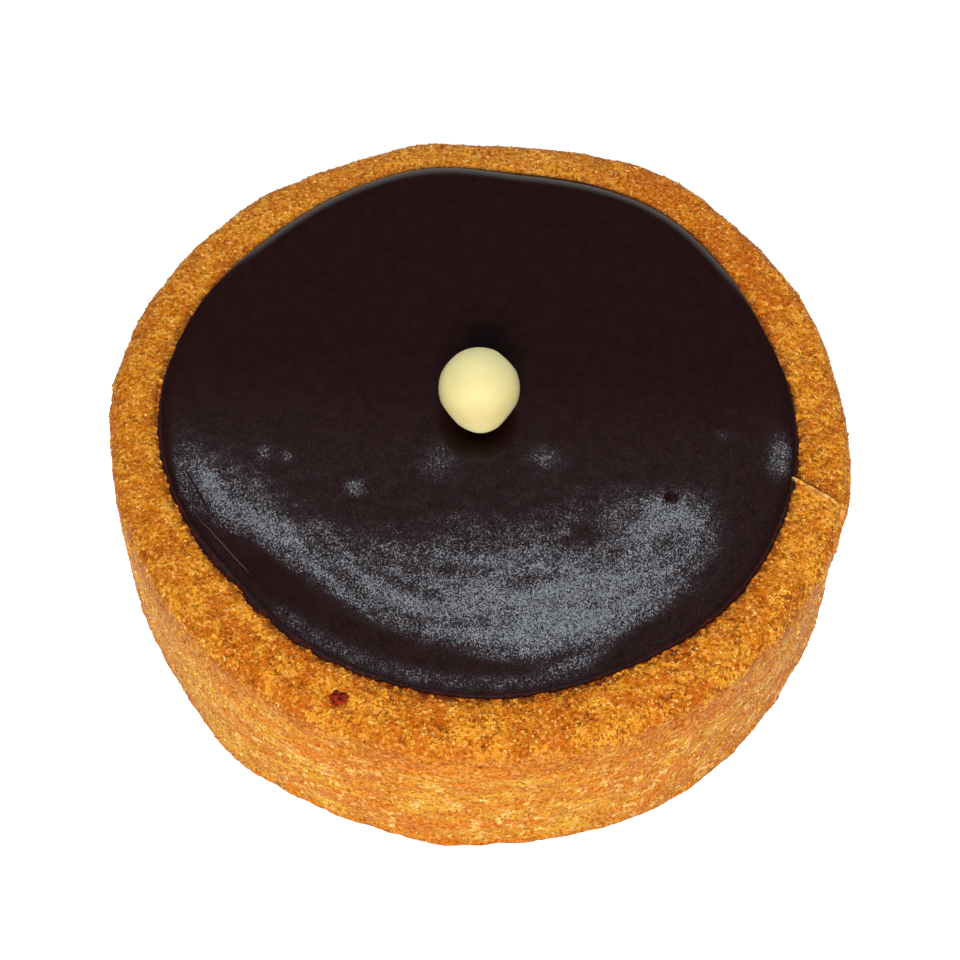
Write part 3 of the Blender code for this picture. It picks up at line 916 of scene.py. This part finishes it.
def sheen(x, y, radius, angle, ripple):
    """Share of the skin's grains that lie so that they shine."""
    begins = by_angle(SHEEN_BEGINS, angle)
    ends = by_angle(SHEEN_ENDS, angle)
    rise = np.clip((radius - begins) / (by_angle(SHEEN_PEAKS, angle) - begins), 0.0, 1.0)
    wane = np.clip((ends - radius) / (ends - by_angle(SHEEN_WANES, angle)), 0.0, 1.0)
    share = by_angle(SHEEN_SHARES, angle) * rise ** SHEEN_CURVE * wane
    share *= np.maximum(0.0, 1.0 + SHEEN_RIPPLE * ripple)
    faint = FAINT_SHEEN * smooth(*FAINT_SHEEN_FRONT, y) * wane
    front = angle % 360.0
    second = np.exp(-((radius - SECOND_SHEEN_RADIUS) / SECOND_SHEEN_WIDTH) ** 2)
    second *= smooth(*SECOND_SHEEN_COMES, front) * smooth(*SECOND_SHEEN_GOES, front)
    share = SHEEN_GAIN * share ** SHEEN_CURVE + faint + SECOND_SHEEN * second
    return np.clip(share + MARK_SHEEN * mark(x, y, SHEEN_MARKS), 0.0, 1.0)


def grain_leans(obj, calm):
    """Forward slopes that a grain of the skin adds to its mesh to stay dark, and to shine."""
    flat = np.degrees(np.arctan2(EYE.z - GANACHE_TOP, points_of(obj)[:, 1] - EYE.y))
    normals = normals_of(obj)
    normals[:, 2] += calm
    normals /= np.linalg.norm(normals, axis=1, keepdims=True)
    upright = np.maximum(normals[:, 2], LEAST_UPRIGHT)
    own = -normals[:, 1] / upright
    dark = (np.tan(np.radians((DARK_ELEVATION - flat) / 2.0)) - own) * upright
    shining = (np.tan(np.radians((STRIP_ELEVATION - flat) / 2.0)) - own) * upright
    return dark, shining


def make_ganache():
    ganache = lathe("ganache_filling", ganache_section(), GANACHE_COLUMNS)
    points = points_of(ganache)
    x, y, z = points.T.copy()
    radius, angle = polar(points)
    from_edge = GANACHE_EDGE - radius
    on_top = z > BEAD_FOOT + 0.001
    z = np.where(on_top, top_level(radius, angle), z)
    grow = 1.0 + filling_shift(angle) / GANACHE_RADIUS * smooth(0.0, GANACHE_RADIUS, radius)
    x *= grow
    y *= grow
    ripple = streaks(radius, angle)
    inside = on_top * smooth(0.0, 0.8, from_edge)
    z += inside * (mark(x, y, TOP_MARKS) + STREAK_HEIGHT * ripple)
    away = np.hypot(x - PEARL_CENTRE.x, y - PEARL_CENTRE.y)
    ball = PEARL_CENTRE.z - np.sqrt(np.maximum(0.0, PEARL_RADIUS ** 2 - away ** 2))
    z = np.where(on_top & (away < PEARL_RADIUS), np.minimum(z, ball), z)
    set_points(ganache, np.stack([x, y, z], axis=1) + np.array(AXIS))

    weigh(ganache, "skin", inside)
    paint(ganache, "thin", smooth(0.45, 0.05, from_edge) * smooth(23.9, 23.2, z))
    relief(ganache, "IMPROVED_PERLIN", size=7.0, height=0.06, where="skin")
    relief(ganache, "IMPROVED_PERLIN", size=2.2, height=0.012, where="skin")
    calm = CALM_WEIGHT * on_top * smooth(1.6, 0.8, from_edge) * by_angle(CALM_EDGE, angle)
    paint(ganache, "calm", calm)
    dark, shining = grain_leans(ganache, calm)
    skin = on_top * smooth(0.08, 0.3, from_edge) * smooth(*SKIN_FRONT, y)
    paint(ganache, "dark_lean", skin * dark)
    paint(ganache, "shining_lean", skin * (shining - dark))
    paint(ganache, "shine", skin * sheen(x, y, radius, angle, ripple))
    # Share of painted shadow of the pearl, in front of and behind it
    paint(ganache, "pearl_shade", mark(x, y, PEARL_SHADE_MARKS))
    finish_mesh(ganache, 60.0, satin_ganache())
    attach(ganache, "root")
    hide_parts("ganache")


def soaked_edge_and_shade():
    """Dark red-brown film: stain where it soaked in and painted shade at the filling's edge, rough where it
    soaked in.
    """
    p = Pattern("soaked edge and shade")
    patch = p.noise(0.7, 3.0, 0.65)
    colour = p.ramp(patch, [(0.35, (0.0060, 0.0012, 0.0010)), (0.55, (0.012, 0.0012, 0.0008)),
                            (0.72, (0.045, 0.0040, 0.0010))])
    normal = p.bump(p.noise(0.3, 3.0, 0.7), 0.12, None, 0.9)
    return p.finish(colour, 0.5, normal, Specular_IOR_Level=0.08)


def film_unevenness(angle):
    """How much wider or narrower the dark film is at an angle."""
    turn = math.radians(angle)
    return sum(share * noise.noise(Vector((math.cos(turn) * fineness, math.sin(turn) * fineness, level)))
               for fineness, level, share in FILM_WAVES)


def make_edge_line():
    """Thin dark film where the filling has soaked into the pastry round its edge, dark also as painted shade
    there.
    """
    middle = GANACHE_EDGE - 0.05
    turns = [math.radians(turn) for turn in range(0, 361, 20)]
    section = [(middle + FILM_REACH * math.cos(turn), FILM_LEVEL + FILM_RISE * math.sin(turn))
               for turn in turns]
    line = lathe("filling_line_and_shade", section, FILM_COLUMNS)
    points = points_of(line)
    radius, angle = polar(points)
    uneven = np.array([film_unevenness(place) for place in angle])
    outward = np.maximum(0.0, radius - middle)
    width = by_angle(FILM_WIDTHS, angle)
    radius = radius + outward * (width / FILM_REACH * (1.0 + 0.9 * uneven) - 1.0) + filling_shift(angle)
    turn = np.radians(angle)
    level = points[:, 2] + swell(angle, RIM_LEVELS) + SEAM_STEP * lapping(turned(angle - SEAM_MIDDLE))
    set_points(line, np.stack([radius * np.cos(turn), radius * np.sin(turn), level], axis=1) + np.array(AXIS))
    finish_mesh(line, 60.0, soaked_edge_and_shade())
    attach(line, "root")


# Pearl

def make_pearl():
    pearl = new_ball("cream_pearl", 6, PEARL_RADIUS)
    points = points_of(pearl)
    for *direction, depth in PEARL_FLATS:
        toward = np.array(Vector(direction).normalized())
        over = points @ toward - PEARL_FLAT_START * PEARL_RADIUS
        points -= toward * (np.maximum(over, 0.0) * depth)[:, None]
    for *direction, width, height in PEARL_SWELLS:
        toward = np.array(Vector(direction).normalized())
        turn = np.arccos(np.clip(points @ toward / np.linalg.norm(points, axis=1), -1.0, 1.0))
        points += toward * (height * np.exp(-(turn / width) ** 2))[:, None]
    set_points(pearl, points + np.array(PEARL_CENTRE + AXIS))
    finish_mesh(pearl, 60.0, cream())
    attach(pearl, "root")
    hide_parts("pearl")


# Grains

def scatter_grains(name, shell, radii, density, seed):
    """Half-sunk grains on the shell, each an uneven pebble, joined into one mesh."""
    rng = np.random.default_rng(seed)
    clear_selection()
    bpy.ops.mesh.primitive_ico_sphere_add(subdivisions=1, radius=1.0)
    pebble = bpy.context.object
    shape = np.array([vert.co for vert in pebble.data.vertices])
    faces = np.array([list(face.vertices) for face in pebble.data.polygons])
    bpy.data.objects.remove(pebble)

    centres = rows_of(shell.data.polygons, "center") / MM - np.array(AXIS)
    directions = rows_of(shell.data.polygons, "normal")
    weights = rows_of(shell.data.polygons, "area", 1)[:, 0] * density(centres)
    chosen = rng.choice(len(weights), size=GRAIN_COUNT, replace=False, p=weights / weights.sum())

    all_points = []
    for centre, direction in zip(centres[chosen], directions[chosen]):
        size = rng.uniform(*radii)
        turn = Matrix.Rotation(rng.uniform(0.0, 6.28), 3, Vector(rng.normal(size=3)).normalized())
        stretch = rng.uniform(*GRAIN_STRETCH, 3)
        uneven = shape * stretch * (1.0 + GRAIN_UNEVENNESS * rng.normal(size=(len(shape), 1)))
        all_points.append(uneven @ np.array(turn).T * size + centre - direction * size * GRAIN_SINKING)
    points = np.concatenate(all_points)
    indices = (faces[None] + np.arange(GRAIN_COUNT)[:, None, None] * len(shape)).reshape(-1, 3)
    joined = bpy.data.meshes.new(name)
    joined.from_pydata(((points + np.array(AXIS)) * MM).tolist(), [], indices.tolist())
    grains = bpy.data.objects.new(name, joined)
    bpy.context.collection.objects.link(grains)
    paint_pastry(grains, points)
    paint(grains, "own", np.repeat(rng.random(GRAIN_COUNT), len(shape)))
    return grains


def make_grains(shell):
    def on_rim(centres):
        """Everywhere outside the filling, most at the front and a little to the right."""
        radius, angle = polar(centres)
        outside = radius > GANACHE_EDGE + filling_shift(angle) + 0.1
        front = 0.5 + np.exp(-(turned(angle + 50.0) / 50.0) ** 2)
        return outside * smooth(20.5, 22.0, centres[:, 2]) * front

    def on_wall(centres):
        """Evenly, but not on the underside or the rim."""
        radius, angle = polar(centres)
        level = centres[:, 2]
        return (radius > 38.0) * smooth(0.4, 1.0, level) * smooth(22.5, 20.5, level)

    for name, radii, density, seed in (("rim_grains", RIM_GRAIN_RADII, on_rim, RIM_GRAIN_SEED),
                                       ("wall_grains", WALL_GRAIN_RADII, on_wall, WALL_GRAIN_SEED)):
        grains = scatter_grains(name, shell, radii, density, seed)
        grains.data.materials.append(shell.data.materials[0])
        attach(grains, "root")


def make_caramel_spot(shell):
    """Small dark red drop of burnt sugar in the pit of the front rim."""
    spot = new_ball("caramel_spot", 5, 1.0)
    above = (Vector((RIM_PITS[0][0], RIM_PITS[0][1], 50.0)) + AXIS) * MM
    place = shell.ray_cast(above, (0.0, 0.0, -1.0))[1]
    points = points_of(spot)
    bumpy = np.array([noise.noise(Vector(point) * SPOT_FINENESS + NOISE_ORIGIN) for point in points])
    points *= (1.0 + SPOT_UNEVENNESS * bumpy)[:, None] * np.array(SPOT_STRETCH)
    set_points(spot, points + np.array(place) / MM + np.array([0.0, 0.0, SPOT_RISE]))
    finish_mesh(spot, 80.0, dark_caramel())
    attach(spot, "root")


# Floor, light and camera

def make_floor():
    clear_selection()
    bpy.ops.mesh.primitive_circle_add(vertices=96, radius=4.0, fill_type="NGON", location=(0.0, 0.0, 0.0))
    floor = bpy.context.object
    floor.name = "floor"
    pale = Pattern("pale floor").finish((0.35, 0.35, 0.35, 1.0), 0.9, None, Specular_IOR_Level=0.1,
                                        Emission_Color=(1.0, 1.0, 1.0, 1.0), Emission_Strength=0.78)
    floor.data.materials.append(pale)


def softbox(name, azimuth, elevation, distance, width, height, radiance):
    """An area light that faces the tart, in metres. Its angles are seen from the tart."""
    data = bpy.data.lights.new(name, "AREA")
    data.shape = "RECTANGLE"
    data.size = width
    data.size_y = height
    data.energy = radiance * math.pi * width * height
    lamp = bpy.data.objects.new(name, data)
    bpy.context.collection.objects.link(lamp)
    turn, tilt = math.radians(azimuth), math.radians(elevation)
    toward = Vector((math.cos(tilt) * math.cos(turn), math.cos(tilt) * math.sin(turn), math.sin(tilt)))
    lamp.location = toward * distance + Vector((0.0, 0.0, 0.02))
    lamp.rotation_euler = toward.to_track_quat("Z", "Y").to_euler()


def make_light():
    softbox("front softbox", azimuth=-93.0, elevation=40.0, distance=0.80, width=0.34, height=0.26,
            radiance=40.0)
    world = bpy.data.worlds.new("studio")
    bpy.context.scene.world = world
    world.use_nodes = True
    w = Wiring(world.node_tree)
    toward = w.new("ShaderNodeTexCoord").outputs["Generated"]
    across = w.math("ABSOLUTE", w.dot(toward, RIGHT))
    tilt = math.radians(STRIP_ELEVATION)
    lower = w.math("ABSOLUTE", w.dot(toward, (0.0, math.sin(tilt), -math.cos(tilt))))
    rise = w.dot(toward, UP)
    strip = w.product(w.span(lower, *STRIP_HEIGHT), w.span(across, *STRIP_WIDTH), w.span(rise, 0.1, 0.3),
                      STRIP_RADIANCE)
    behind = w.dot(toward, BACK)
    glow = w.product(w.span(rise, 0.60, 0.30), w.span(behind, 0.45, 0.80), GLOW_RADIANCE)
    plain = world.node_tree.nodes["Background"]
    plain.inputs["Color"].default_value = (1.0, 1.0, 1.0, 1.0)
    w.feed(plain.inputs["Strength"], w.math("ADD", glow, SKY_RADIANCE))
    cool = w.new("ShaderNodeBackground")
    cool.inputs["Color"].default_value = (*STRIP_COLOUR, 1.0)
    w.feed(cool.inputs["Strength"], strip)
    both = w.new("ShaderNodeAddShader")
    w.feed(both.inputs[0], plain.outputs[0])
    w.feed(both.inputs[1], cool.outputs[0])
    w.feed(world.node_tree.nodes["World Output"].inputs["Surface"], both.outputs[0])


def make_camera():
    level_right = Vector(RIGHT)
    level_up = level_right.cross(SIGHT)
    right = level_right * math.cos(CAMERA_ROLL) + level_up * math.sin(CAMERA_ROLL)
    up = level_up * math.cos(CAMERA_ROLL) - level_right * math.sin(CAMERA_ROLL)
    data = bpy.data.cameras.new("camera")
    data.sensor_width = SENSOR
    data.lens = SENSOR * FOCAL_PIXELS / PICTURE_WIDTH
    data.clip_start = 0.01
    data.clip_end = 20.0
    camera = bpy.data.objects.new("camera", data)
    bpy.context.collection.objects.link(camera)
    turn = Matrix((right, up, -SIGHT)).transposed()
    camera.matrix_world = Matrix.Translation(EYE * MM) @ turn.to_4x4()
    bpy.context.scene.camera = camera


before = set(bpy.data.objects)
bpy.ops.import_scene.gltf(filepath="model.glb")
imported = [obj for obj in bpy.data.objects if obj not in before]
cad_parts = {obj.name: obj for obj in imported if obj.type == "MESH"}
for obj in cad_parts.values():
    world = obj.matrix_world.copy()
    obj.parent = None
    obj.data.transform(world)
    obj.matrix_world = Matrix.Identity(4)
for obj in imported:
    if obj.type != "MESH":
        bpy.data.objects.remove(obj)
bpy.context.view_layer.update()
make_camera()
make_floor()
make_light()
crust_shell = make_shell()
make_grains(crust_shell)
make_caramel_spot(crust_shell)
make_ganache()
make_edge_line()
make_pearl()
bpy.context.scene.view_settings.view_transform = "Standard"
